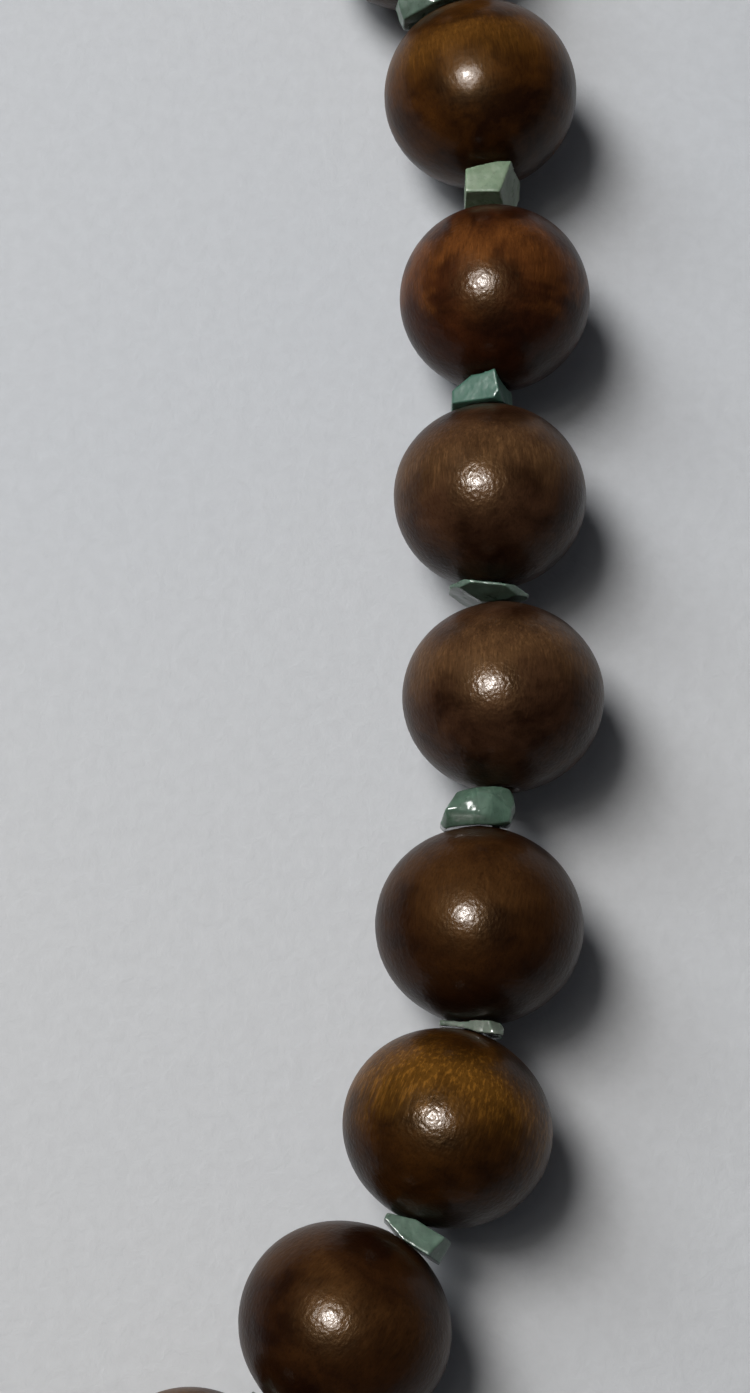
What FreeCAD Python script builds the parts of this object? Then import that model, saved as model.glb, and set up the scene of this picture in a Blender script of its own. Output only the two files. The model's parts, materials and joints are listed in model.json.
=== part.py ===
import FreeCAD, Part
import math
import os
import random

# A string of drilled wooden beads with a small stone chip in every gap. It lies flat on a
# table as a closed loop: origin at the middle of the loop on the table, +Z up, the closing
# (guru) bead and its tassel at -Y, stations numbered counter-clockwise seen from above.

# ---- driving dimensions, millimetres and degrees ----
AXIS_Z = 10.1
BEAD_BORE = 2.5
BORE_CHAMFER = 0.4
CHIP_BORE = 1.5
CORD_DIAMETER = 0.8
CORD_BEND_RADIUS = 4.0
SEAT = 0.12
SQUEEZE_SWEEP = 8.1
SQUEEZE_ENDS = 3
FOLD_SWEEP = 28.1
FOLD_GAPS = (1, 15)

# Half of the loop, in order round it: the bend of the cord before the station, the gap
# before it, the bead's diameter, its length along the bore, and how far its wide bore lets
# it sit off the cord towards the inside of the loop. The other half repeats it, so the
# bends add up to a full turn and the loop closes on itself.
HALF_LOOP = (
    (15.0, 2.4, 20.0, 20.0, 0.0),
    (20.0, 2.6, 19.9, 18.9, 0.2),
    (18.0, 2.4, 20.1, 18.8, -0.2),
    (18.0, 1.7, 20.4, 19.3, 0.1),
    (16.0, 1.9, 20.2, 18.8, -0.5),
    (11.0, 0.7, 20.3, 19.2, 0.55),
    (6.5, 3.85, 20.0, 18.9, -0.5),
    (1.0, 1.95, 19.4, 18.7, 0.6),
    (-2.0, 2.3, 19.5, 19.1, 0.1),
    (10.5, 3.5, 20.1, 19.5, -0.15),
    (18.0, 2.6, 19.7, 18.9, 0.4),
    (17.0, 2.4, 19.8, 18.8, -0.3),
    (16.0, 2.8, 20.0, 18.9, 0.25),
    (15.0, 2.2, 19.8, 18.7, -0.15),
)
HALF = len(HALF_LOOP)
STATIONS = 2 * HALF

GURU_WIDTH = 20.0
GURU_LENGTH = 23.0
GURU_TAIL_BORE = 3.0
COLUMN_GAP = 1.0
COLUMN_LENGTH = 19.8
TASSEL_NECK = 7.0
TASSEL_LENGTH = 62.0

# Chips with a size of their own: thickness along the cord, width, height, sideways (towards
# the inside of the loop) and upward offset of the stone from its hole, turn in plan, and how
# many flats are ground on it at random.
OWN_CHIPS = {
    1: (2.4, 5.8, 5.6, -0.7, -0.8, 4.0, 9),
    4: (2.3, 6.6, 6.2, -0.7, 0.6, -5.0, 0),
    5: (1.3, 6.2, 6.4, 0.2, 0.6, 5.0, 6),
    6: (4.1, 7.9, 6.4, 2.35, 0.8, 12.0, 22),
    7: (1.9, 8.0, 7.0, 0.9, 0.3, -6.0, 0),
    8: (4.6, 6.2, 6.4, 1.2, 1.0, 0.0, 0),
    9: (4.6, 5.8, 6.0, 0.5, 0.7, -4.0, 0),
    10: (2.8, 8.4, 6.2, 2.7, 0.8, 0.0, 10),
    13: (3.1, 6.6, 6.2, -0.5, 0.4, 5.0, 9),
    15: (2.5, 5.6, 5.8, -0.6, -0.8, -3.0, 8),
}

# Faces ground on some chips on purpose: the way each one faces (along the cord, towards the
# inside of the loop, up) and its distance from the middle of the gap.
GROUND_FACES = {
    4: (
        (0.35, 0.0, 0.94, 3.0),
        (0.0, -0.85, 0.53, 4.2),
        (0.0, 0.8, 0.6, 3.9),
        (0.951, 0.311, 0.0, 1.1),
        (-0.951, 0.311, 0.0, 1.1),
    ),
    5: ((0.0, 0.334, 0.942, 2.5),),
    6: (
        (0.594, 0.804, 0.0, 4.35),
        (-0.5, 0.866, 0.0, 5.5),
        (0.6, -0.8, 0.0, 2.15),
        (-0.6, -0.8, 0.0, 2.05),
    ),
    7: (
        (-0.954, 0.0, 0.301, 1.15),
        (0.97, 0.0, 0.24, 1.16),
        (0.97, 0.24, 0.0, 1.31),
        (0.97, -0.24, 0.0, 0.9),
        (-0.97, 0.24, 0.0, 1.31),
        (-0.97, -0.24, 0.0, 0.9),
        (0.0, -0.75, 0.66, 2.98),
        (0.0, -0.8, -0.6, 2.3),
        (0.0, 0.75, 0.66, 4.73),
        (0.0, 0.8, -0.6, 4.64),
    ),
    8: (
        (-0.05, 0.42, 0.9, 3.43),
        (0.81, 0.587, 0.0, 2.57),
        (-0.97, 0.1, 0.22, 2.05),
        (0.175, -0.928, 0.33, 1.5),
        (-0.6, -0.5, 0.62, 2.93),
    ),
    9: (
        (-0.32, -0.911, 0.26, 1.44),
        (-0.97, 0.0, 0.24, 2.0),
        (0.964, 0.265, 0.0, 2.25),
        (0.3, 0.7, -0.65, 3.1),
    ),
}

Vector = FreeCAD.Vector
UP = Vector(0, 0, 1)


def polar(degrees):
    return Vector(math.cos(math.radians(degrees)), math.sin(math.radians(degrees)), 0)


def row(index):
    return HALF_LOOP[index % HALF]


def lay_out_loop():
    """Headings, bead centres and gap centres; gap k lies before station k."""
    headings = [0.0]
    for station in range(1, STATIONS):
        headings.append(headings[-1] + row(station)[0])
    centres = [Vector(0, 0, 0)]
    gaps = {}
    for station in range(1, STATIONS + 1):
        gap_half = row(station)[1] / 2
        before = polar(headings[station - 1])
        reach = row(station - 1)[3] / 2 + gap_half
        gaps[station] = centres[-1] + before * reach
        if station < STATIONS:
            after = polar(headings[station])
            centres.append(gaps[station] + after * (gap_half + row(station)[3] / 2))
    middle = (centres[0] + centres[HALF]) * 0.5
    shift = UP * AXIS_Z - middle
    beads = []
    for station, point in enumerate(centres):
        inward = polar(headings[station] + 90) * row(station)[4]
        beads.append(point + shift + inward)
    gaps = {key: point + shift for key, point in gaps.items()}
    return headings, beads, gaps


HEADINGS, CENTRES, GAPS = lay_out_loop()
GURU = CENTRES[0]
FOLD_AXIS = (GAPS[FOLD_GAPS[0]] - GAPS[FOLD_GAPS[1]]).normalize()


def squeeze_shares():
    """How far each gap of a half loop bends, against the first, when the loop changes shape.
    The gaps at the two ends bend one way and the rest bend back, so that the half keeps its
    whole turn and its far end stays on the folding axis."""
    reach = [(GAPS[gap] - GAPS[FOLD_GAPS[1]]).dot(FOLD_AXIS) for gap in range(1, HALF + 1)]
    near = sum(reach[:SQUEEZE_ENDS])
    far = sum(reach[-SQUEEZE_ENDS:])
    rest = sum(reach) - near - far
    others = HALF - 2 * SQUEEZE_ENDS
    far_share = (SQUEEZE_ENDS * rest - others * near) / (others * far - SQUEEZE_ENDS * rest)
    back = -SQUEEZE_ENDS * (1 + far_share) / others
    return [1.0] * SQUEEZE_ENDS + [back] * others + [far_share] * SQUEEZE_ENDS


SQUEEZE_SHARES = squeeze_shares()


def save(name, shape):
    if not shape.isValid() or len(shape.Solids) != 1:
        raise ValueError(name + " is not one valid solid")
    shape.Solids[0].exportStep("parts/" + name + ".step")


def place(shape, centre, heading):
    """Move a shape built along +X at the origin to a point of the loop."""
    moved = shape.copy()
    turn = FreeCAD.Rotation(UP, heading)
    moved.Placement = FreeCAD.Placement(centre, turn).multiply(moved.Placement)
    return moved


def turned(points, axis):
    """Turn a closed outline of (along, radius) points about the local axis."""
    corners = [Vector(along, 0, radius) for along, radius in points]
    wire = Part.makePolygon(corners + corners[:1])
    return Part.Face(wire).revolve(Vector(0, 0, 0), axis, 360)


def end_curve(diameter, length):
    """Radius of a bead's flatter ends, and how far its centre lies past the middle."""
    radius = (diameter / 2) ** 2 / (length / 2)
    return radius, radius - length / 2


def make_bead(diameter, length):
    """A ball with its ends worn to a flatter curve, and a chamfered bore along +X."""
    wide = diameter / 2
    radius, behind = end_curve(diameter, length)
    bore = BEAD_BORE / 2
    mouth = bore + BORE_CHAMFER
    end = math.sqrt(radius ** 2 - mouth ** 2) - behind
    inner = end - BORE_CHAMFER
    left, right = Vector(-end, 0, mouth), Vector(end, 0, mouth)
    crown = Vector(0, 0, wide)
    if behind > 0:
        meet = (radius ** 2 - wide ** 2 - behind ** 2) / (2 * behind)
        halfway = (meet + end) / 2
        rise = math.sqrt(radius ** 2 - (halfway + behind) ** 2)
        shoulder = math.sqrt(wide ** 2 - meet ** 2)
        edges = [
            Part.Arc(left, Vector(-halfway, 0, rise), Vector(-meet, 0, shoulder)).toShape(),
            Part.Arc(Vector(-meet, 0, shoulder), crown, Vector(meet, 0, shoulder)).toShape(),
            Part.Arc(Vector(meet, 0, shoulder), Vector(halfway, 0, rise), right).toShape(),
        ]
    else:
        edges = [Part.Arc(left, crown, right).toShape()]
    edges += [
        Part.makeLine(right, Vector(inner, 0, bore)),
        Part.makeLine(Vector(inner, 0, bore), Vector(-inner, 0, bore)),
        Part.makeLine(Vector(-inner, 0, bore), left),
    ]
    face = Part.Face(Part.Wire(edges))
    return face.revolve(Vector(0, 0, 0), Vector(1, 0, 0), 360)


def make_guru():
    """The closing bead: an egg along Y, drilled across and down to the tail."""
    wide = GURU_WIDTH / 2
    tall = GURU_LENGTH / 2
    egg = Part.Ellipse(Vector(0, tall, 0), Vector(wide, 0, 0), Vector(0, 0, 0))
    arc = egg.toShape(math.pi, 2 * math.pi)
    chord = Part.makeLine(arc.valueAt(2 * math.pi), arc.valueAt(math.pi))
    body = Part.Face(Part.Wire([arc, chord])).revolve(Vector(0, 0, 0), Vector(0, 1, 0), 360)
    bore = BEAD_BORE / 2
    tail = GURU_TAIL_BORE / 2
    down = Vector(0, -1, 0)
    cutters = [Part.makeCylinder(tail, tall + 0.5, Vector(0, 0.5, 0), down)]
    cutters.append(Part.makeCylinder(bore, 2 * wide, Vector(-wide, 0, 0), Vector(1, 0, 0)))
    mouths = (
        (Vector(1, 0, 0), wide, bore),
        (Vector(-1, 0, 0), wide, bore),
        (Vector(0, -1, 0), tall, tail),
    )
    for outward, reach, radius in mouths:
        base = outward * (reach - 2 * BORE_CHAMFER)
        rim = radius + 1.5 * BORE_CHAMFER
        cutters.append(Part.makeCone(radius, rim, 2 * BORE_CHAMFER, base, outward))
    for cutter in cutters:
        body = body.cut(cutter)
    return body


def end_ball(station, gap_side, spare):
    """The ball that follows a bead's end: its centre, and its radius."""
    _, _, diameter, length, _ = row(station)
    if station % STATIONS == 0:
        diameter = GURU_LENGTH
    radius, behind = end_curve(diameter, length)
    along = polar(HEADINGS[station % STATIONS]) * (-behind * gap_side)
    return CENTRES[station % STATIONS] + along, radius + spare


def swept_room(gap):
    """Everywhere the two neighbouring beads can be, seen from the stone between them."""
    swing = SQUEEZE_SWEEP * abs(SQUEEZE_SHARES[(gap - 1) % HALF])
    rest = FreeCAD.Rotation()
    fold = FreeCAD.Rotation(FOLD_AXIS, -FOLD_SWEEP)
    before = [rest]
    after = [rest, FreeCAD.Rotation(UP, swing), FreeCAD.Rotation(UP, -swing)]
    if gap == FOLD_GAPS[0]:
        before.append(fold)
    if gap == FOLD_GAPS[1]:
        after += [fold.multiply(turn) for turn in after]
    room = []
    for station, side, turns in ((gap - 1, 1, before), (gap, -1, after)):
        centre, radius = end_ball(station, side, SEAT)
        for turn in turns:
            moved = turn.multVec(centre - GAPS[gap]) + GAPS[gap]
            room.append(Part.makeSphere(radius, moved))
    return room


def grind(stone, centre, normal, depth):
    """Take off everything beyond a plane at a depth from the centre."""
    slab = Part.makeBox(40, 40, 20, Vector(-20, -20, 0))
    slab.Placement = FreeCAD.Placement(centre + normal * depth, FreeCAD.Rotation(UP, normal))
    return stone.cut(slab)


def grind_at_random(stone, centre, half_sizes, flats, dice):
    """Flats in directions spread round the stone, each just below its surface."""
    start = dice.uniform(0, 360)
    for number in range(flats):
        around = math.radians(start + 360 * number * 0.618)
        lean = math.radians(dice.uniform(-50, 50))
        normal = Vector(
            math.sin(lean),
            math.cos(lean) * math.cos(around),
            math.cos(lean) * math.sin(around),
        )
        reach = math.hypot(*(part * half for part, half in zip(normal, half_sizes)))
        stone = grind(stone, centre, normal, reach * dice.uniform(1.0, 1.12))
    return stone


def make_chip(gap):
    """The drilled stone in one gap, ground clear of the beads on both sides."""
    dice = random.Random(100 + gap)
    width = row(gap)[1]
    if gap in OWN_CHIPS:
        thick, wide, tall, aside, above, tilt, flats = OWN_CHIPS[gap]
    else:
        thick = width * dice.uniform(0.95, 1.35)
        wide = dice.uniform(5.4, 8.2)
        tall = dice.uniform(5.4, 7.0)
        aside = dice.uniform(-1.2, 1.2)
        above = dice.uniform(-0.6, 1.2)
        tilt = dice.uniform(-9, 9)
        flats = dice.randint(6, 13)
    half_sizes = Vector(thick, wide, tall) / 2
    centre = Vector(0, aside, above)
    stone = Part.makeBox(thick, wide, tall, centre - half_sizes)
    stone = grind_at_random(stone, centre, half_sizes, flats, dice)
    for along, inward, up, depth in GROUND_FACES.get(gap, ()):
        stone = grind(stone, Vector(0, 0, 0), Vector(along, inward, up).normalize(), depth)
    heading = HEADINGS[gap - 1] + row(gap)[0] / 2
    stone = place(stone, GAPS[gap], heading + tilt)
    for ball in swept_room(gap):
        stone = stone.cut(ball)
    drill = Part.makeCylinder(CHIP_BORE / 2, 12, Vector(-6, 0, 0), Vector(1, 0, 0))
    stone = stone.cut(place(drill, GAPS[gap], heading))
    return max(stone.Solids, key=lambda solid: solid.Volume)


def guru_mouth():
    """How far below the guru bead's centre the cord comes out of it."""
    rim = GURU_TAIL_BORE / 2 + 1.5 * BORE_CHAMFER
    return GURU_LENGTH / 2 * math.sqrt(1 - (2 * rim / GURU_WIDTH) ** 2)


def make_column(top):
    """The turned column under the guru bead, from its top towards -Y."""
    outline = (
        (top, BEAD_BORE / 2),
        (top, 2.0),
        (top + 0.5, 3.0),
        (top + 1.2, 3.6),
        (top + 2.0, 3.9),
        (top + 3.0, 3.2),
        (top + 3.8, 2.8),
        (top + 4.8, 3.4),
        (top + 6.2, 5.2),
        (top + 8.0, 6.0),
        (top + 10.0, 5.8),
        (top + 12.0, 4.8),
        (top + 14.0, 3.7),
        (top + 15.6, 3.1),
        (top + 16.6, 3.0),
        (top + 17.2, 3.8),
        (top + 18.2, 4.2),
        (top + 19.2, 3.8),
        (top + COLUMN_LENGTH, 3.0),
        (top + COLUMN_LENGTH, BEAD_BORE / 2),
    )
    return place(turned(outline, Vector(1, 0, 0)), GURU, -90)


def cord_loop():
    """The closed thread: straight inside every bead, an arc in every gap."""
    edges = []
    entries = []
    exits = []
    arcs = []
    for gap in range(1, STATIONS + 1):
        before = polar(HEADINGS[gap - 1])
        after = polar(HEADINGS[gap % STATIONS])
        bend = math.radians(abs(row(gap)[0]))
        setback = CORD_BEND_RADIUS * math.tan(bend / 2)
        entry = GAPS[gap] - before * setback
        leave = GAPS[gap] + after * setback
        lift = CORD_BEND_RADIUS * (1 / math.cos(bend / 2) - 1)
        inward = (after - before).normalize()
        middle = GAPS[gap] + inward * lift
        entries.append(entry)
        exits.append(leave)
        arcs.append(Part.Arc(entry, middle, leave).toShape())
    for index in range(STATIONS):
        following = (index + 1) % STATIONS
        edges.append(arcs[index])
        edges.append(Part.makeLine(exits[index], entries[following]))
    path = Part.Wire(edges)
    start = exits[0]
    ring = Part.makeCircle(CORD_DIAMETER / 2, start, polar(HEADINGS[1]))
    line_first = edges[1:] + edges[:1]
    path = Part.Wire(line_first)
    return path.makePipe(Part.Wire([ring]))


def make_cord(tail_end):
    loop = cord_loop()
    if loop.ShapeType != "Solid":
        loop = Part.makeSolid(Part.makeShell(loop.Faces))
    down = Vector(0, -1, 0)
    tail = Part.makeCylinder(CORD_DIAMETER / 2, tail_end + 8.0, GURU, down)
    knot = Part.makeSphere(1.5, GURU + down * (tail_end + 2.0))
    return loop.fuse(tail).fuse(knot)


def make_tassel(top):
    """A cut fringe: round at the neck, sinking and spreading onto the table."""
    head = Part.makeSphere(5.0, Vector(top + 8.8, 0, 0))
    neck = Part.makeCylinder(TASSEL_NECK / 2, 7, Vector(top + 10.6, 0, 0), Vector(1, 0, 0))
    sections = (
        (17.0, 3.52, 3.48, 0.0),
        (20.6, 5.6, 5.2, -0.4),
        (27.0, 7.2, 6.0, -1.8),
        (36.0, 8.4, 5.9, -3.3),
        (48.0, 9.4, 5.4, -4.3),
        (TASSEL_LENGTH, 10.4, 5.0, -4.9),
    )
    wires = []
    for along, half_width, half_height, sink in sections:
        middle = Vector(top + along, 0, sink)
        side = middle + Vector(0, half_width, 0)
        crown = middle + Vector(0, 0, half_height)
        wires.append(Part.Wire([Part.Ellipse(side, crown, middle).toShape()]))
    fringe = Part.makeLoft(wires, True, False)
    hole = Part.makeCylinder(0.6, 8.0, Vector(top + 2.0, 0, 0), Vector(1, 0, 0))
    tassel = head.fuse(neck).fuse(fringe).cut(hole)
    return place(tassel, GURU, -90)


def make_binding(top):
    """Turns of thread wound tight round the tassel neck."""
    neck = TASSEL_NECK / 2
    thread = 1.0
    first = top + 12.8
    turns = 4
    points = [(first, neck)]
    for turn in range(turns):
        for step in range(7):
            angle = math.pi * step / 6
            along = first + thread * (turn + 0.5 - 0.5 * math.cos(angle))
            points.append((along, neck + 0.55 + 0.5 * math.sin(angle)))
    points.append((first + thread * turns, neck))
    clean = [points[0]]
    for point in points[1:]:
        if math.dist(point, clean[-1]) > 0.001:
            clean.append(point)
    return place(turned(clean, Vector(1, 0, 0)), GURU, -90)


def main():
    os.makedirs("parts", exist_ok=True)
    for station in range(1, STATIONS):
        _, _, diameter, length, _ = row(station)
        bead = make_bead(diameter, length)
        name = "bead_{:02d}".format(station)
        save(name, place(bead, CENTRES[station], HEADINGS[station]))
    for gap in range(1, STATIONS + 1):
        save("chip_{:02d}".format(gap), make_chip(gap))
    save("guru_bead", place(make_guru(), GURU, 0))
    column_top = guru_mouth() + COLUMN_GAP
    column_end = column_top + COLUMN_LENGTH
    save("guru_column", make_column(column_top))
    save("cord", make_cord(column_end))
    save("tassel", make_tassel(column_end))
    save("tassel_binding", make_binding(column_end))


main()
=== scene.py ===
import json
import math
import random

import bmesh
import bpy
import numpy as np
from mathutils import Matrix, Vector, noise


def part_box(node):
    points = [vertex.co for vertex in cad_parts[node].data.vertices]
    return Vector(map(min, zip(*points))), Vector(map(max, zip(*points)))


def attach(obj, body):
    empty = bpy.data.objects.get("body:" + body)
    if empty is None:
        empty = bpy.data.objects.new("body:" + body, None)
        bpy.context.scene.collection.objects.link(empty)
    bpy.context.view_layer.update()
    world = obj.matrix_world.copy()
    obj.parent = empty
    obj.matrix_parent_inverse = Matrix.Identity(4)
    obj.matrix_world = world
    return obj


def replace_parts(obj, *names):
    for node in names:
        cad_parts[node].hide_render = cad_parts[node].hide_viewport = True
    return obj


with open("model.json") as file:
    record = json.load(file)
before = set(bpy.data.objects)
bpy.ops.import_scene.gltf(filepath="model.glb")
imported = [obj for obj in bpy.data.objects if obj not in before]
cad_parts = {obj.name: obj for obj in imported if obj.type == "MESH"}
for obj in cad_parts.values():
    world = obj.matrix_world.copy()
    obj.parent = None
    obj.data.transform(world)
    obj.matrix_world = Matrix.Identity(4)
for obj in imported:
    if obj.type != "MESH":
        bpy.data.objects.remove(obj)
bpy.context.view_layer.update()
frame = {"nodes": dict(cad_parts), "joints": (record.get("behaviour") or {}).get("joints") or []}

# The scene is in metres. Sizes below are in millimetres and go through mm().
BEADS = 27
LAST_GAP = BEADS + 1
OPEN_GAP = 15


def mm(value):
    return value / 1000


joints = {joint["name"]: joint for joint in frame["joints"]}


def gap_pivot(gap):
    """The middle of a gap, where the cord bends."""
    if gap == 1:
        return Vector(joints["loop_squeeze"]["pos_m"])
    if gap == OPEN_GAP:
        first = joints["loop_squeeze"]["pos_m"]
        return Vector((-first[0], -first[1], first[2]))
    return Vector(joints["squeeze_gap_%02d" % gap]["pos_m"])


def read_points(mesh, field="co"):
    points = np.zeros(len(mesh.vertices) * 3, np.float32)
    mesh.vertices.foreach_get(field, points)
    return points.reshape(-1, 3).astype(float)


def write_points(mesh, points):
    mesh.vertices.foreach_set("co", points.astype(np.float32).ravel())


def add_object(name, mesh, smooth=True):
    thing = bpy.data.objects.new(name, mesh)
    bpy.context.scene.collection.objects.link(thing)
    if smooth:
        mesh.polygons.foreach_set("use_smooth", [True] * len(mesh.polygons))
    return thing


def basis(axis):
    """A rotation that takes +X to axis and keeps +Z up as far as it can."""
    along = Vector(axis).normalized()
    up = Vector((0, 0, 1))
    side = up.cross(along).normalized()
    return Matrix((along, side, along.cross(side))).transposed()


# ---- materials ----


class Nodes:
    """Short calls for building a material's node tree."""

    def __init__(self, name):
        self.material = bpy.data.materials.new(name)
        self.material.use_nodes = True
        self.tree = self.material.node_tree
        self.tree.nodes.clear()
        self.output = self.tree.nodes.new("ShaderNodeOutputMaterial")

    def add(self, kind, **values):
        node = self.tree.nodes.new("ShaderNode" + kind)
        for key, value in values.items():
            if key in node.inputs.keys():
                self.put(node.inputs[key], value)
            else:
                setattr(node, key, value)
        return node

    def put(self, socket, value):
        if isinstance(value, bpy.types.NodeSocket):
            self.tree.links.new(value, socket)
        else:
            socket.default_value = value

    def math(self, operation, *values, clamp=False):
        node = self.tree.nodes.new("ShaderNodeMath")
        node.operation = operation
        node.use_clamp = clamp
        for socket, value in zip(node.inputs, values):
            self.put(socket, value)
        return node.outputs[0]

    def ramp(self, factor, *stops):
        node = self.tree.nodes.new("ShaderNodeValToRGB")
        self.put(node.inputs[0], factor)
        elements = node.color_ramp.elements
        while len(elements) < len(stops):
            elements.new(0.5)
        for element, (place, colour) in zip(elements, stops):
            element.position = place
            element.color = (*colour, 1) if len(colour) == 3 else colour
        return node.outputs[0]

    def mix(self, factor, first, second, blend="MIX"):
        node = self.tree.nodes.new("ShaderNodeMix")
        node.data_type = "RGBA"
        node.blend_type = blend
        self.put(node.inputs["Factor"], factor)
        for name, value in (("A", first), ("B", second)):
            sockets = [s for s in node.inputs if s.name == name and s.type == "RGBA"]
            if isinstance(value, tuple) and len(value) == 3:
                value = (*value, 1)
            self.put(sockets[0], value)
        return [s for s in node.outputs if s.type == "RGBA"][0]

    def noise(self, vector, scale, detail=4.0, roughness=0.55, distortion=0.0):
        node = self.tree.nodes.new("ShaderNodeTexNoise")
        self.put(node.inputs["Vector"], vector)
        self.put(node.inputs["Scale"], scale)
        self.put(node.inputs["Detail"], detail)
        self.put(node.inputs["Roughness"], roughness)
        self.put(node.inputs["Distortion"], distortion)
        return node.outputs[0]

    def mapped(self, vector, scale=(1, 1, 1), location=(0, 0, 0)):
        node = self.tree.nodes.new("ShaderNodeMapping")
        self.put(node.inputs["Vector"], vector)
        node.inputs["Scale"].default_value = scale
        node.inputs["Location"].default_value = location
        return node.outputs[0]

    def bump(self, height, strength, distance, normal=None):
        node = self.tree.nodes.new("ShaderNodeBump")
        self.put(node.inputs["Height"], height)
        node.inputs["Strength"].default_value = strength
        node.inputs["Distance"].default_value = distance
        if normal is not None:
            self.put(node.inputs["Normal"], normal)
        return node.outputs[0]

    def shade(self, **values):
        node = self.tree.nodes.new("ShaderNodeBsdfPrincipled")
        for key, value in values.items():
            self.put(node.inputs[key.replace("_", " ")], value)
        self.tree.links.new(node.outputs[0], self.output.inputs["Surface"])
        return self.material


def attribute(nodes, name, output):
    node = nodes.tree.nodes.new("ShaderNodeAttribute")
    node.attribute_name = name
    return node.outputs[output]


def lacquered_wood(name, painted_sheen_colour, mid_colour, dark_colour, seed, swirl, peel_depth, painted_glint_strength):
    """Dark stained wood under lacquer, with a painted sheen: a lighter band across the bore, with
    glinting fibres in it, stands in for the fibres' chatoyant reflection of the lamp. The bead's
    own place is in the 'grain' attribute:
    x runs along the bore and y, z across it, all in bead radii."""
    n = Nodes(name)
    place = attribute(n, "grain", "Vector")
    split = n.add("SeparateXYZ", Vector=place)
    offset = (seed * 3.17, seed * 1.31, seed * 2.23)
    streaks = n.noise(n.mapped(place, (2.2, 15, 15), offset), 1.0, 5, 0.55, 0.3)
    pores = n.noise(n.mapped(place, (9.0, 60, 60), offset), 1.0, 3, 0.6)
    figure = n.noise(n.mapped(place, (1.3, 1.1, 1.1), offset), 1.0, 3, 0.5, 0.8)
    cloud = n.noise(n.mapped(place, (2.6, 2.0, 2.0), offset), 1.0, 4, 0.6, 0.4)
    # painted sheen: a lighter band just past the middle of the bead, standing in for the fibres'
    # chatoyant reflection of the lamp, wavering with the figure
    drift = n.math("MULTIPLY", n.math("SUBTRACT", figure, 0.5), swirl)
    shift = n.math("SUBTRACT", n.math("ADD", split.outputs["X"], drift), 0.28)
    squared = n.math("MULTIPLY", shift, shift)
    painted_sheen_band = n.math("EXPONENT", n.math("MULTIPLY", squared, -13.0))
    ragged = n.math("ADD", n.math("MULTIPLY", streaks, 1.0), n.math("MULTIPLY", cloud, 1.1))
    painted_sheen_band = n.math("MULTIPLY", painted_sheen_band, n.math("SUBTRACT", ragged, 0.25), clamp=True)
    base = n.mix(n.ramp(cloud, (0.38, (0, 0, 0)), (0.72, (1, 1, 1))), dark_colour, mid_colour)
    # the painted sheen band laid over the wood's own colour
    colour = n.mix(painted_sheen_band, base, painted_sheen_colour)
    # painted glints: fibres inside the painted sheen band are lifted towards 2.4 times its colour
    fibres = n.noise(n.mapped(place, (5.0, 34, 34), offset), 1.0, 3, 0.6)
    painted_fibre_glints = n.math("MULTIPLY", n.ramp(fibres, (0.5, (0, 0, 0)), (0.66, (painted_glint_strength,) * 3)), painted_sheen_band)
    colour = n.mix(painted_fibre_glints, colour, tuple(value * 2.4 for value in painted_sheen_colour))
    fine = n.ramp(pores, (0.34, (0.5, 0.46, 0.44)), (0.5, (1, 1, 1)))
    colour = n.mix(0.6, colour, fine, "MULTIPLY")
    dents = n.noise(n.mapped(place, (6, 6, 6), offset), 1.0, 2, 0.5)
    peel = n.noise(n.mapped(place, (22, 24, 24), offset), 1.0, 2, 0.5)
    relief = n.math("MULTIPLY_ADD", peel, peel_depth, n.math("MULTIPLY", dents, 0.5))
    normal = n.bump(relief, 0.6, mm(0.16))
    under = n.bump(streaks, 0.3, mm(0.1), normal)
    return n.shade(
        Base_Color=colour,
        Roughness=n.ramp(cloud, (0.3, (0.36,) * 3), (0.7, (0.46,) * 3)),
        Specular_IOR_Level=0.08,
        Specular_Tint=(0.95, 0.55, 0.22, 1),
        Normal=under,
        Coat_Weight=0.22,
        Coat_Roughness=0.16,
        Coat_IOR=1.4,
        Coat_Normal=normal,
    )


def tumbled_stone(name, light, deep, seed, veins=0.25, rough=0.3, clear=0.2):
    """Cloudy green stone, a little clear, with pale veins, darker flecks and sharp edges painted
    paler, partly as wear and partly as a painted edge highlight.
    """
    n = Nodes(name)
    place = n.add("TexCoord").outputs["Object"]
    offset = (seed * 0.013, seed * 0.007, seed * 0.011)
    clouds = n.noise(n.mapped(place, (330, 330, 330), offset), 1.0, 5, 0.6, 0.4)
    bands = n.noise(n.mapped(place, (620, 150, 420), offset), 1.0, 3, 0.6, 0.8)
    flecks = n.noise(n.mapped(place, (2600, 2600, 2600), offset), 1.0, 2, 0.5)
    colour = n.mix(n.ramp(clouds, (0.3, (0, 0, 0)), (0.68, (1, 1, 1))), deep, light)
    pale = tuple(min(1, value * 1.3 + 0.03) for value in light)
    streak = n.ramp(bands, (0.52, (0, 0, 0)), (0.66, (veins,) * 3))
    colour = n.mix(streak, colour, pale)
    speck = n.ramp(flecks, (0.26, (0.55, 0.6, 0.55)), (0.4, (1, 1, 1)))
    colour = n.mix(0.6, colour, speck, "MULTIPLY")
    # sharp edges painted paler: partly the tumbled stone's real wear, partly a painted highlight
    # along the edges
    edge = n.add("NewGeometry").outputs["Pointiness"]
    worn = n.ramp(edge, (0.53, (0, 0, 0)), (0.62, (0.4,) * 3))
    colour = n.mix(worn, colour, pale)
    relief = n.noise(n.mapped(place, (1500, 1500, 1500), offset), 1.0, 3, 0.6)
    return n.shade(
        Base_Color=colour,
        Roughness=n.ramp(clouds, (0.3, (rough * 0.8,) * 3), (0.7, (rough * 1.25,) * 3)),
        Subsurface_Weight=clear,
        Subsurface_Radius=(0.5, 1.0, 0.7),
        Subsurface_Scale=mm(0.8),
        Specular_IOR_Level=0.35,
        Normal=n.bump(relief, 0.3, mm(0.1)),
        Coat_Weight=clear,
        Coat_Roughness=0.1,
    )


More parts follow.
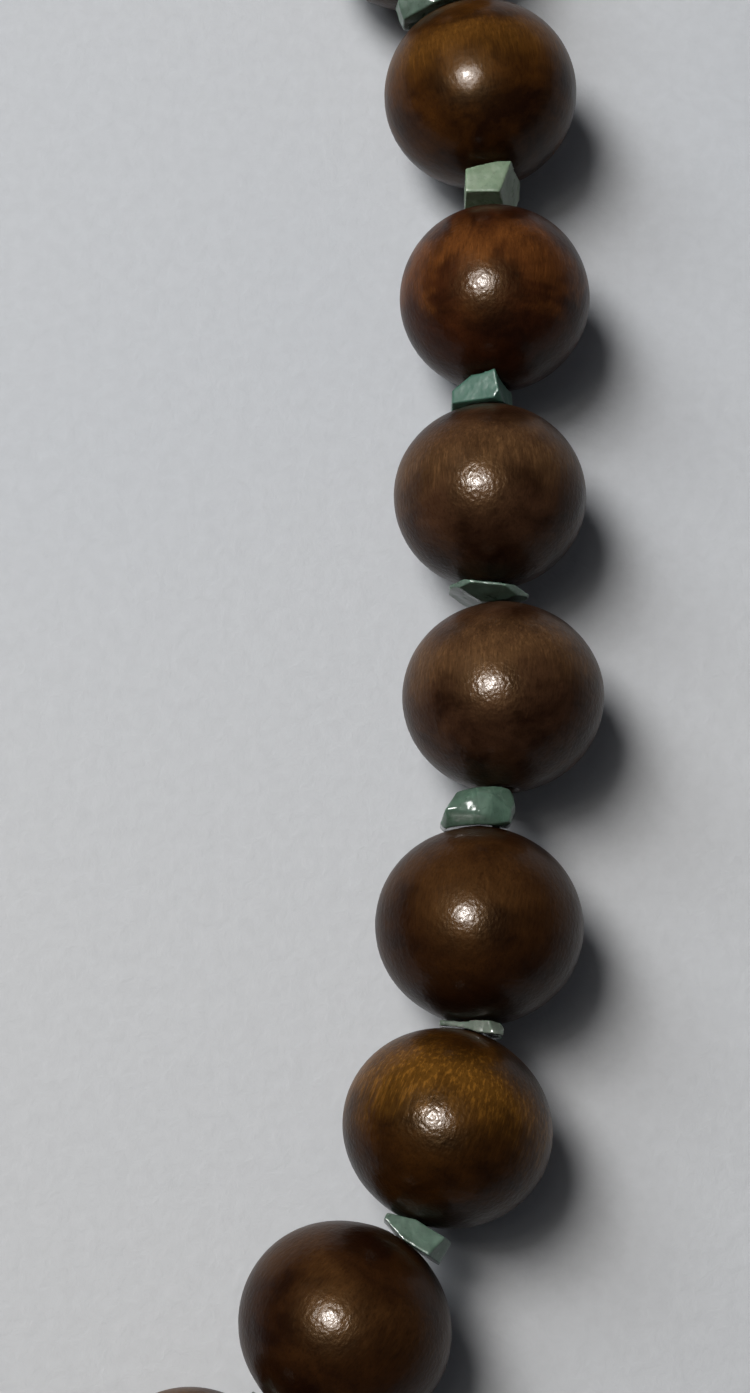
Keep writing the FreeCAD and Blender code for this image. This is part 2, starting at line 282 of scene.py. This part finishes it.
def spun_thread(name, colour, shadow, scale=1.0):
    """Twisted cotton: fine slanted fibres and a soft sheen."""
    n = Nodes(name)
    place = n.add("TexCoord").outputs["Object"]
    fibres = n.noise(n.mapped(place, (2600 * scale, 900 * scale, 2600 * scale)), 1.0, 4, 0.65)
    tone = n.noise(n.mapped(place, (120, 120, 120)), 1.0, 3, 0.5)
    blend = n.ramp(fibres, (0.32, (0, 0, 0)), (0.66, (1, 1, 1)))
    base = n.mix(blend, shadow, colour)
    base = n.mix(0.5, base, n.ramp(tone, (0.3, (0.6,) * 3), (0.7, (1.15,) * 3)), "MULTIPLY")
    return n.shade(
        Base_Color=base,
        Roughness=0.85,
        Specular_IOR_Level=0.2,
        Sheen_Weight=0.5,
        Sheen_Roughness=0.4,
        Normal=n.bump(fibres, 0.6, mm(0.08)),
    )


def plain_floor():
    """Pale, matt, finely grained sheet, a little cooler in places."""
    n = Nodes("floor_sheet")
    place = n.add("TexCoord").outputs["Object"]
    grain = n.noise(n.mapped(place, (620, 620, 620)), 1.0, 5, 0.6, 0.3)
    tone = n.noise(n.mapped(place, (7, 7, 7)), 1.0, 2, 0.5)
    blend = n.ramp(tone, (0.35, (0, 0, 0)), (0.65, (1, 1, 1)))
    colour = n.mix(blend, (0.50, 0.515, 0.54), (0.525, 0.53, 0.54))
    speck = n.ramp(grain, (0.3, (0.94,) * 3), (0.7, (1.0,) * 3))
    return n.shade(
        Base_Color=n.mix(1.0, colour, speck, "MULTIPLY"),
        Roughness=0.75,
        Specular_IOR_Level=0.25,
        Normal=n.bump(grain, 0.3, mm(0.3)),
    )


# Painted sheen band, middle and dark colours of each stain, then its seed, the swirl of the figure,
# the depth of the orange peel in the lacquer and the strength of the painted glints on the fibres
# in the band.
WOODS = [
    lacquered_wood(
        "wood_amber", (0.095, 0.038, 0.006), (0.064, 0.021, 0.003), (0.014, 0.004, 0.001),
        1, 0.7, 0.15, 0.3,
    ),
    lacquered_wood(
        "wood_umber", (0.082, 0.040, 0.016), (0.058, 0.025, 0.012), (0.0135, 0.0045, 0.002),
        2, 0.8, 0.5, 0.35,
    ),
    lacquered_wood(
        "wood_russet", (0.110, 0.036, 0.008), (0.044, 0.011, 0.003), (0.0125, 0.003, 0.0012),
        3, 2.4, 0.35, 0.2,
    ),
    lacquered_wood(
        "wood_gold", (0.108, 0.045, 0.006), (0.042, 0.014, 0.002), (0.0085, 0.0025, 0.0006),
        4, 1.1, 0.5, 0.75,
    ),
    lacquered_wood(
        "wood_chestnut", (0.045, 0.018, 0.005), (0.033, 0.011, 0.0025), (0.0105, 0.003, 0.001),
        5, 1.4, 0.4, 0.2,
    ),
]
STONES = [
    tumbled_stone("stone_sage", (0.22, 0.29, 0.19), (0.15, 0.215, 0.135), 1, 0.25),
    tumbled_stone("stone_teal", (0.055, 0.140, 0.100), (0.042, 0.108, 0.077), 2, 0.05, 0.4, 0.1),
    tumbled_stone("stone_grey", (0.105, 0.165, 0.122), (0.050, 0.090, 0.064), 3, 0.5, 0.12, 0.35),
    tumbled_stone("stone_deep", (0.130, 0.198, 0.150), (0.050, 0.080, 0.058), 4, 0.2),
    tumbled_stone("stone_pale", (0.175, 0.200, 0.162), (0.088, 0.110, 0.086), 5, 0.4, 0.12, 0.35),
]
THREAD = spun_thread("cord_thread", (0.055, 0.032, 0.020), (0.018, 0.010, 0.007))
TASSEL = spun_thread("tassel_cotton", (0.110, 0.028, 0.018), (0.030, 0.008, 0.006))
BINDING = spun_thread("binding_silk", (0.42, 0.26, 0.075), (0.16, 0.085, 0.02))

# ---- beads ----


BORE_RADIUS = mm(1.25)
MOUTH_RADIUS = mm(1.65)
BEAD_SIDES = 112
BEAD_SEED = 900
# The turned surface stays true out to this radius, then its unevenness fades in.
TRUE_RADIUS = mm(2.2)
WOBBLE_FADE = mm(2.0)


def closed_lathe(name, profile, around):
    """A ring-shaped mesh turned about X from a closed list of (x, radius)."""
    points = np.array(profile)
    turn = np.linspace(0, 2 * math.pi, around, endpoint=False)
    x = np.repeat(points[:, 0], around)
    y = np.outer(points[:, 1], np.cos(turn)).ravel()
    z = np.outer(points[:, 1], np.sin(turn)).ravel()
    rings = len(points)
    faces = []
    for ring in range(rings):
        low, high = ring * around, (ring + 1) % rings * around
        for step in range(around):
            after = (step + 1) % around
            faces.append((low + step, low + after, high + after, high + step))
    mesh = bpy.data.meshes.new(name)
    mesh.from_pydata(np.column_stack((x, y, z)).tolist(), [], faces)
    mesh.update()
    return mesh


def set_grain(mesh, values):
    """Each vertex's place in the wood, which the wood materials read."""
    layer = mesh.attributes.new("grain", "FLOAT_VECTOR", "POINT")
    layer.data.foreach_set("vector", np.asarray(values, np.float32).ravel())


def bead_profile(end, radius, bore, mouth):
    """Outside from one mouth to the other, then back through the bore."""
    half = end / math.sqrt(1 - (mouth / radius) ** 2)
    start = math.asin(mouth / radius)
    profile = []
    for angle in np.linspace(start, math.pi - start, 59):
        profile.append((half * math.cos(angle), radius * math.sin(angle)))
    lip = mouth - bore
    for angle in np.linspace(0.15, 1.0, 4) * math.pi / 2:
        profile.append((-end + lip * (1 - math.cos(angle)), mouth - lip * math.sin(angle)))
    for place in np.linspace(-end + lip + mm(1.2), end - lip - mm(1.2), 7):
        profile.append((place, bore))
    for angle in np.linspace(1.0, 0.15, 4) * math.pi / 2:
        profile.append((end - lip * (1 - math.cos(angle)), mouth - lip * math.sin(angle)))
    return profile[::-1]


def make_bead(index, wood):
    node = "bead_%02d" % index
    spin = joints["spin_" + node]
    centre = Vector(spin["pos_m"])
    turn = basis(spin["axis"])
    local = (read_points(frame["nodes"][node].data) - np.array(centre)) @ np.array(turn)
    end = local[:, 0].max()
    radius = np.hypot(local[:, 1], local[:, 2]).max()
    profile = bead_profile(end, radius, BORE_RADIUS, MOUTH_RADIUS)
    mesh = closed_lathe(node + "_wood", profile, BEAD_SIDES)
    points = read_points(mesh)
    moved = points.copy()
    dice = random.Random(BEAD_SEED + index)
    shift = Vector((dice.uniform(0, 50), dice.uniform(0, 50), dice.uniform(0, 50)))
    for row, (x, y, z) in enumerate(points):
        out = math.hypot(y, z)
        if out < TRUE_RADIUS:
            continue
        spot = Vector((x, y, z)) * 1000
        slow = noise.noise(spot / 7.0 + shift)
        dent = noise.noise(spot / 2.1 + shift * 1.7)
        size = 1 + (-0.006 + 0.0055 * slow - 0.0016 * max(0.0, dent - 0.1))
        fade = min(1.0, (out - TRUE_RADIUS) / WOBBLE_FADE)
        moved[row] = points[row] * (1 + (size - 1) * fade)
    write_points(mesh, moved)
    roll = dice.uniform(0, 2 * math.pi)
    cosine, sine = math.cos(roll), math.sin(roll)
    grain = points / radius
    rolled = grain.copy()
    rolled[:, 1] = cosine * grain[:, 1] - sine * grain[:, 2]
    rolled[:, 2] = sine * grain[:, 1] + cosine * grain[:, 2]
    rolled[:, 1] += index * 4.0
    set_grain(mesh, rolled)
    mesh.transform(turn.to_4x4())
    mesh.update()
    mesh.materials.append(wood)
    bead = add_object(node + "_wood", mesh)
    bead.location = centre
    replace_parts(bead, node)
    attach(bead, node)


# Which wood each bead is cut from, in order round the loop.
BEAD_WOODS = [1, 0, 4, 3, 4, 1, 1, 2, 0, 1, 3, 0, 2, 1, 0, 3, 1, 2, 0, 1, 3, 2, 1, 0, 0, 1, 3]
for index in range(1, BEADS + 1):
    make_bead(index, WOODS[BEAD_WOODS[index - 1]])

# ---- stone chips ----


def evaluated_copy(thing, name):
    """The object's mesh with its modifiers applied."""
    graph = bpy.context.evaluated_depsgraph_get()
    mesh = bpy.data.meshes.new_from_object(thing.evaluated_get(graph))
    mesh.name = name
    return mesh


CHIP_VOXEL = mm(0.13)


def make_chip(gap, stone, smooth):
    node = "chip_%02d" % gap
    pivot = gap_pivot(gap)
    mesh = frame["nodes"][node].data.copy()
    mesh.transform(Matrix.Translation(-pivot))
    mesh.materials.clear()
    rough = add_object(node + "_rough", mesh)
    shell = rough.modifiers.new("shell", "REMESH")
    shell.mode = "VOXEL"
    shell.voxel_size = CHIP_VOXEL
    worn = rough.modifiers.new("worn", "SMOOTH")
    worn.factor = 0.5
    worn.iterations = smooth
    final = evaluated_copy(rough, node + "_stone")
    bpy.data.objects.remove(rough)
    bpy.data.meshes.remove(mesh)
    points = read_points(final)
    normals = read_points(final, "normal")
    for row in range(len(points)):
        spot = Vector(points[row]) * 1000
        rise = noise.noise(spot / 1.4 + Vector((gap * 5.0, 0, 0)))
        pit = noise.noise(spot / 0.5 + Vector((0, gap * 5.0, 0)))
        points[row] += normals[row] * mm(0.05 * rise - 0.03 * max(0.0, pit) - 0.02)
    write_points(final, points)
    final.update()
    final.materials.clear()
    final.materials.append(stone)
    chip = add_object(node + "_stone", final)
    chip.location = pivot
    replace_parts(chip, node)
    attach(chip, "fold_link" if gap == 1 else "link_%02d" % (gap - 1))


# Which stone each chip is, and how many smoothing steps wear its edges.
OWN_STONES = {4: 3, 5: 4, 6: 2, 7: 3, 8: 1, 9: 0, 10: 3}
OWN_WEAR = {4: 3, 5: 8, 6: 24, 7: 4, 8: 3, 9: 4}
for gap in range(1, LAST_GAP + 1):
    make_chip(gap, STONES[OWN_STONES.get(gap, (gap * 3) % 5)], OWN_WEAR.get(gap, 6))

# ---- cord ----


def tube(points, radii, sides, twist=0.0, lobes=0, depth=0.0, cap=True):
    """Vertices and faces of a tube along points; lobes and twist make plies."""
    points = [Vector(point) for point in points]
    verts, faces = [], []
    last_side = None
    total = 0.0
    for index, point in enumerate(points):
        ahead = points[min(index + 1, len(points) - 1)]
        behind = points[max(index - 1, 0)]
        along = (ahead - behind).normalized()
        if last_side is None:
            hint = Vector((0, 0, 1)) if abs(along.z) < 0.9 else Vector((1, 0, 0))
            side = hint.cross(along).normalized()
        else:
            side = (last_side - along * last_side.dot(along)).normalized()
        last_side = side
        other = along.cross(side)
        if index:
            total += (point - points[index - 1]).length
        for step in range(sides):
            angle = 2 * math.pi * step / sides
            radius = radii[index] if hasattr(radii, "__len__") else radii
            if lobes:
                radius *= 1 - depth * (0.5 - 0.5 * math.cos(lobes * (angle - twist * total)))
            verts.append(point + (side * math.cos(angle) + other * math.sin(angle)) * radius)
    rings = len(points)
    for ring in range(rings - 1):
        for step in range(sides):
            after = (step + 1) % sides
            low, high = ring * sides, (ring + 1) * sides
            faces.append((low + step, low + after, high + after, high + step))
    if cap:
        faces.append(tuple(range(sides))[::-1])
        faces.append(tuple(range((rings - 1) * sides, rings * sides)))
    return verts, faces


def mesh_of(name, parts):
    """One mesh from several (vertices, faces) parts."""
    verts, faces = [], []
    for part_verts, part_faces in parts:
        base = len(verts)
        verts.extend(part_verts)
        faces.extend(tuple(corner + base for corner in face) for face in part_faces)
    mesh = bpy.data.meshes.new(name)
    mesh.from_pydata([tuple(vert) for vert in verts], [], faces)
    mesh.update()
    return mesh


CORD_RADIUS = mm(0.4)
CORD_SIDES = 12
CORD_PLIES = 3
PLY_DEPTH = 0.16
CORD_TWIST = 2 * math.pi / mm(7.5)


def cord_span(name, start, stop, body):
    """A straight length of three-ply thread with rounded ends, inside a link."""
    start, stop = Vector(start), Vector(stop)
    along = (stop - start).normalized()
    length = (stop - start).length
    steps = max(12, int(length / mm(0.35)))
    points, radii = [], []
    for angle in (0.15, 0.5, 0.85):
        points.append(start - along * CORD_RADIUS * math.cos(angle * math.pi / 2))
        radii.append(CORD_RADIUS * math.sin(angle * math.pi / 2))
    for step in range(steps + 1):
        points.append(start + (stop - start) * step / steps)
        radii.append(CORD_RADIUS)
    for angle in (0.85, 0.5, 0.15):
        points.append(stop + along * CORD_RADIUS * math.cos(angle * math.pi / 2))
        radii.append(CORD_RADIUS * math.sin(angle * math.pi / 2))
    part = tube(points, radii, CORD_SIDES, CORD_TWIST, CORD_PLIES, PLY_DEPTH)
    mesh = mesh_of(name, [part])
    mesh.materials.append(THREAD)
    span = add_object(name, mesh)
    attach(span, body)
    return span


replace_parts(cord_span("cord_span_00", gap_pivot(LAST_GAP), gap_pivot(1), "guru"), "cord")
for index in range(1, BEADS + 1):
    cord_span("cord_span_%02d" % index, gap_pivot(index), gap_pivot(index + 1), "link_%02d" % index)

# ---- guru bead, column and tassel ----

low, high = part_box("guru_bead")
GURU = Vector(((low.x + high.x) / 2, gap_pivot(1).y, (low.z + high.z) / 2))
MOUTH = Vector(joints["pendant_swing"]["pos_m"])
COLUMN_END = Vector(joints["pendant_tassel_swing"]["pos_m"])

cord_span("cord_tail_guru", GURU, MOUTH, "guru")
cord_span("cord_tail_column", MOUTH, COLUMN_END, "column")
cord_span("cord_tail_tassel", COLUMN_END, COLUMN_END + Vector((0, -mm(7.5), 0)), "tassel")


def knot():
    """An overhand knot in the tail, just below the column."""
    middle = COLUMN_END + Vector((0, -mm(2.0), 0))
    points = []
    steps, sides = 96, 10
    for step in range(steps + 1):
        t = 2 * math.pi * step / steps
        across = math.sin(t) + 2 * math.sin(2 * t)
        up = math.cos(t) - 2 * math.cos(2 * t)
        deep = -math.sin(3 * t)
        points.append(middle + Vector((across * 0.36, deep * 0.55, up * 0.36)) * mm(1))
    # the last ring lies on the first, so it is dropped and the tube joined to itself
    verts, faces = tube(
        points, CORD_RADIUS * 0.95, sides, CORD_TWIST, CORD_PLIES, PLY_DEPTH, cap=False
    )
    kept = (len(points) - 1) * sides
    faces = [face for face in faces if max(face) < kept]
    for step in range(sides):
        after = (step + 1) % sides
        tail = kept - sides
        faces.append((tail + step, tail + after, after, step))
    mesh = mesh_of("cord_knot", [(verts[:kept], faces)])
    mesh.materials.append(THREAD)
    piece = add_object("cord_knot", mesh)
    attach(piece, "tassel")


knot()


TAIL_BORE_RADIUS = mm(1.5)
LIP_ROUNDING = mm(0.55)


def drill(axis, bore, start, lip):
    """A cutter along axis that rounds the rim of its hole, where the surface is at lip."""
    points, radii = [axis * start], [bore]
    for step in range(9):
        rise = step / 8
        points.append(axis * (lip - LIP_ROUNDING * (1 - rise)))
        radii.append(bore + LIP_ROUNDING * (1 - math.sqrt(max(0.0, 1 - rise * rise))))
    points.append(axis * (lip + mm(2.0)))
    radii.append(bore + mm(3.2))
    return add_object("cutter", mesh_of("cutter", [tube(points, radii, 48)]))


def guru_bead():
    """The egg-shaped closing bead with its three drilled holes."""
    low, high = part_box("guru_bead")
    wide = (high.z - low.z) / 2 * 0.997
    tall = (high.y - low.y) / 2 * 0.999
    rings, around = 84, 144
    verts, faces = [], []
    for ring in range(rings + 1):
        angle = math.pi * ring / rings
        out = max(wide * math.sin(angle), 1e-7)
        for step in range(around):
            turn = 2 * math.pi * step / around
            verts.append((out * math.cos(turn), tall * math.cos(angle), out * math.sin(turn)))
    for ring in range(rings):
        for step in range(around):
            after = (step + 1) % around
            a, b = ring * around, (ring + 1) * around
            faces.append((a + step, b + step, b + after, a + after))
    mesh = mesh_of("guru_egg", [(verts, faces)])
    form = bmesh.new()
    form.from_mesh(mesh)
    bmesh.ops.remove_doubles(form, verts=form.verts, dist=mm(0.002))
    bmesh.ops.recalc_face_normals(form, faces=form.faces)
    form.to_mesh(mesh)
    form.free()
    egg = add_object("guru_egg", mesh)
    cutters = []
    for axis, bore, begin, reach, across in (
        (Vector((1, 0, 0)), BORE_RADIUS, -mm(1.0), wide, tall),
        (Vector((-1, 0, 0)), BORE_RADIUS, -mm(1.0), wide, tall),
        (Vector((0, -1, 0)), TAIL_BORE_RADIUS, -mm(0.4), tall, wide),
    ):
        lip = reach * math.sqrt(1 - ((bore + mm(0.5)) / across) ** 2)
        cut = egg.modifiers.new("drill", "BOOLEAN")
        cut.operation = "DIFFERENCE"
        cut.solver = "MANIFOLD"
        cut.object = drill(axis, bore, begin, lip)
        cutters.append(cut.object)
    final = evaluated_copy(egg, "guru_bead_wood")
    for thing in cutters + [egg]:
        bpy.data.objects.remove(thing)
    points = read_points(final)
    moved = points.copy()
    for row in range(len(points)):
        spot = Vector(points[row]) * 1000
        if abs(spot.x) > 9.2 and math.hypot(spot.y, spot.z) < 3:
            continue
        moved[row] *= 1 - 0.004 + 0.004 * noise.noise(spot / 8 + Vector((7, 7, 7)))
    write_points(final, moved)
    grain = points[:, [1, 0, 2]] / wide
    grain[:, 1] += 130.0
    set_grain(final, grain)
    final.materials.clear()
    final.materials.append(WOODS[2])
    final.polygons.foreach_set("use_smooth", [True] * len(final.polygons))
    final.set_sharp_from_angle(angle=math.radians(38))
    bead = add_object("guru_bead_wood", final)
    bead.location = GURU
    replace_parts(bead, "guru_bead")
    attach(bead, "guru")


guru_bead()

# The column's outline: distance below its top and radius.
COLUMN_OUTLINE = (
    (0.0, 2.0), (0.5, 3.0), (1.2, 3.6), (2.0, 3.9), (3.0, 3.2), (3.8, 2.8), (4.8, 3.4),
    (6.2, 5.2), (8.0, 6.0), (10.0, 5.8), (12.0, 4.8), (14.0, 3.7), (15.6, 3.1),
    (16.6, 3.0), (17.2, 3.8), (18.2, 4.2), (19.2, 3.8), (19.8, 3.0),
)


def smooth_outline(points, per_span):
    """A rounded line through the points, never overshooting them."""
    made = []
    for index in range(len(points) - 1):
        x0, r0 = points[index]
        x1, r1 = points[index + 1]
        slopes = []
        for at in (index, index + 1):
            if 0 < at < len(points) - 1:
                before = (points[at][1] - points[at - 1][1]) / (points[at][0] - points[at - 1][0])
                after = (points[at + 1][1] - points[at][1]) / (points[at + 1][0] - points[at][0])
                if before * after <= 0:
                    slopes.append(0.0)
                else:
                    slopes.append(2 * before * after / (before + after))
            else:
                slopes.append((r1 - r0) / (x1 - x0))
        span = x1 - x0
        for step in range(per_span):
            t = step / per_span
            h00 = 2 * t ** 3 - 3 * t ** 2 + 1
            h10 = t ** 3 - 2 * t ** 2 + t
            h01 = -2 * t ** 3 + 3 * t ** 2
            h11 = t ** 3 - t ** 2
            radius = h00 * r0 + h10 * span * slopes[0] + h01 * r1 + h11 * span * slopes[1]
            made.append((x0 + span * t, radius))
    made.append(points[-1])
    return made


def column():
    """The turned column, from its top towards -Y."""
    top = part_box("guru_column")[1].y
    outer = [(mm(x), mm(r) * 0.995) for x, r in smooth_outline(COLUMN_OUTLINE, 5)]
    length = outer[-1][0]
    bore, rim, chamfer = BORE_RADIUS, mm(1.5), mm(0.3)
    inner = [(length, rim), (length - chamfer, bore), (length / 2, bore)]
    inner += [(chamfer, bore), (0.0, rim)]
    mesh = closed_lathe("guru_column_wood", (outer + inner)[::-1], 96)
    grain = (read_points(mesh) - np.array([length / 2, 0, 0])) / mm(10)
    grain[:, 1] += 150.0
    set_grain(mesh, grain)
    mesh.transform(basis((0, -1, 0)).to_4x4())
    mesh.materials.append(WOODS[0])
    piece = add_object("guru_column_wood", mesh)
    piece.location = Vector((GURU.x, top, GURU.z))
    mesh.set_sharp_from_angle(angle=math.radians(50))
    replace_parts(piece, "guru_column")
    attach(piece, "column")


column()

# The tassel's outline: distance below the column, half width, half height, sink.
TASSEL_OUTLINE = (
    (4.0, 0.9, 0.9, 0.0), (4.6, 2.6, 2.6, 0.0), (6.4, 4.3, 4.3, 0.0), (8.8, 4.75, 4.75, 0.0),
    (11.0, 4.1, 4.1, 0.0), (12.6, 3.3, 3.3, 0.0), (14.8, 3.2, 3.2, 0.0), (17.0, 3.3, 3.2, 0.0),
    (20.6, 5.3, 4.9, -0.4), (27.0, 6.9, 5.7, -1.8), (36.0, 8.1, 5.6, -3.3),
    (48.0, 9.1, 5.1, -4.3), (61.5, 10.0, 4.7, -4.9),
)


def tassel_section(along):
    """Half width, half height and sink of the tassel at a distance below the column."""
    table = np.array(TASSEL_OUTLINE)
    return [float(np.interp(along, table[:, 0], table[:, column])) for column in (1, 2, 3)]


# The tassel lies on the floor, so no strand's centre is lower than this from the cord.
TASSEL_FLOOR = -10.1 + 0.3


def tassel_point(along, angle, share, wave):
    """A point on the tassel: share is how far out, wave a sideways and upward shift."""
    half_width, half_height, sink = tassel_section(along)
    x = math.cos(angle) * (half_width * share) + wave[0]
    z = math.sin(angle) * (half_height * share) + sink + wave[1]
    z = max(z, TASSEL_FLOOR)
    return Vector((GURU.x + mm(x), COLUMN_END.y - mm(along), GURU.z + mm(z)))


STRANDS = 132
STRAND_TOP = 4.1
STRAND_STEPS = 29
LOOSE_FROM = 19


def tassel_core():
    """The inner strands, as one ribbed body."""
    core_sides = 48
    verts, faces = [], []
    alongs = np.linspace(4.2, 59.5, 60)
    for along in alongs:
        for step in range(core_sides):
            angle = 2 * math.pi * step / core_sides
            share = 0.80 + 0.035 * math.cos(angle * 12)
            verts.append(tassel_point(along, angle, share, (0, 0)))
    for ring in range(len(alongs) - 1):
        for step in range(core_sides):
            after = (step + 1) % core_sides
            a, b = ring * core_sides, (ring + 1) * core_sides
            faces.append((a + step, a + after, b + after, b + step))
    faces.append(tuple(range(core_sides))[::-1])
    faces.append(tuple(range((len(alongs) - 1) * core_sides, len(alongs) * core_sides)))
    core = mesh_of("tassel_core", [(verts, faces)])
    core.materials.append(TASSEL)
    core_piece = add_object("tassel_core", core)
    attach(core_piece, "tassel")


def tassel_strands():
    """The outer strands, two in three of them on the outside, loose below the neck."""
    dice = random.Random(4100)
    parts = []
    for number in range(STRANDS):
        outer = number % 3 != 2
        angle = 2 * math.pi * (number + dice.uniform(-0.3, 0.3)) / STRANDS
        share = dice.uniform(0.93, 0.985) if outer else dice.uniform(0.84, 0.9)
        end = dice.uniform(59.5, 62.0)
        sway = dice.uniform(-0.25, 0.25)
        phase = dice.uniform(0, 6.28)
        thick = dice.uniform(0.30, 0.38)
        points, radii = [], []
        for step in range(STRAND_STEPS + 1):
            along = STRAND_TOP + (end - STRAND_TOP) * step / STRAND_STEPS
            loose = max(0.0, (along - LOOSE_FROM) / 43)
            swing = angle + sway * loose + 0.03 * math.sin(along * 0.35 + phase) * loose
            wave = (
                0.45 * loose * math.sin(along * 0.22 + phase),
                0.30 * loose * math.cos(along * 0.19 + phase * 1.7),
            )
            points.append(tassel_point(along, swing, share, wave))
            half_width = tassel_section(along)[0]
            squeeze = min(1.0, 0.35 + 0.65 * half_width / 4.2)
            radii.append(mm(thick) * squeeze)
        parts.append(tube(points, radii, 7, 2 * math.pi / mm(5.0), 2, 0.22))
    mesh = mesh_of("tassel_strands", parts)
    mesh.materials.append(TASSEL)
    piece = add_object("tassel_strands", mesh)
    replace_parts(piece, "tassel")
    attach(piece, "tassel")


tassel_core()
tassel_strands()


def binding():
    """Thread wound round the neck of the tassel, one strand in a close spiral."""
    points = []
    turns, per_turn, pitch, radius = 4.6, 40, 0.78, mm(4.0)
    total = int(turns * per_turn)
    for step in range(total + 1):
        angle = 2 * math.pi * step / per_turn
        along = 13.2 + pitch * step / per_turn
        points.append(Vector((
            GURU.x + radius * math.cos(angle),
            COLUMN_END.y - mm(along),
            GURU.z + radius * math.sin(angle),
        )))
    part = tube(points, mm(0.44), 12, 2 * math.pi / mm(2.4), 2, 0.14)
    mesh = mesh_of("tassel_binding_thread", [part])
    mesh.materials.append(BINDING)
    piece = add_object("tassel_binding_thread", mesh)
    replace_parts(piece, "tassel_binding")
    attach(piece, "tassel")


binding()

# ---- floor, light and camera ----


def floor():
    """A wide flat sheet just under the beads."""
    half = 1.5
    mesh = bpy.data.meshes.new("floor_sheet")
    corners = [(-half, -half, 0), (half, -half, 0), (half, half, 0), (-half, half, 0)]
    mesh.from_pydata(corners, [], [(0, 1, 2, 3)])
    sheet = add_object("floor_sheet", mesh, smooth=False)
    sheet.location.z = -mm(0.02)
    mesh.materials.append(plain_floor())


floor()


def aim(thing, target):
    direction = Vector(target) - thing.location
    thing.rotation_mode = "QUATERNION"
    thing.rotation_quaternion = direction.to_track_quat("-Z", "Y")


LOOK_AT = gap_pivot(6) + Vector((-mm(12.015), mm(11.463), 0))


def area_light(name, place, size, power, colour, mirrored):
    """A soft oval light that either lights the surfaces or is only mirrored in them."""
    data = bpy.data.lights.new(name, "AREA")
    data.shape = "ELLIPSE"
    data.size, data.size_y = size
    data.energy = power
    data.color = colour
    light = bpy.data.objects.new(name, data)
    bpy.context.scene.collection.objects.link(light)
    light.location = LOOK_AT + Vector(place)
    light.visible_glossy = mirrored
    light.visible_diffuse = not mirrored
    aim(light, LOOK_AT)


WARM = (1.0, 0.985, 0.965)
COOL = (0.93, 0.97, 1.0)
area_light("window", (-0.37, 0.29, 0.93), (0.42, 0.46), 8.2, WARM, mirrored=False)
area_light("sky", (-0.76, 0.62, 0.93), (0.66, 0.72), 7.4, COOL, mirrored=False)
area_light("window_core", (-0.18, 0.02, 0.62), (0.085, 0.10), 7.0, WARM, mirrored=True)
area_light("window_glow", (-0.18, 0.02, 0.64), (0.30, 0.33), 9.0, WARM, mirrored=True)

world = bpy.data.worlds.new("room")
world.use_nodes = True
world.node_tree.nodes["Background"].inputs["Color"].default_value = (0.85, 0.90, 1.0, 1)
world.node_tree.nodes["Background"].inputs["Strength"].default_value = 0.06
bpy.context.scene.world = world
bpy.context.scene.view_settings.view_transform = "Standard"

TILT = math.radians(14)
DISTANCE = 0.280
LENS = 73.45
camera_data = bpy.data.cameras.new("camera")
camera_data.sensor_fit = "AUTO"
camera_data.sensor_width = 36
camera_data.lens = LENS
camera_data.clip_start = 0.01
camera = bpy.data.objects.new("camera", camera_data)
bpy.context.scene.collection.objects.link(camera)
camera.location = LOOK_AT + Vector((0, -math.sin(TILT), math.cos(TILT))) * DISTANCE
camera.rotation_euler = (TILT, 0, 0)
bpy.context.scene.camera = camera
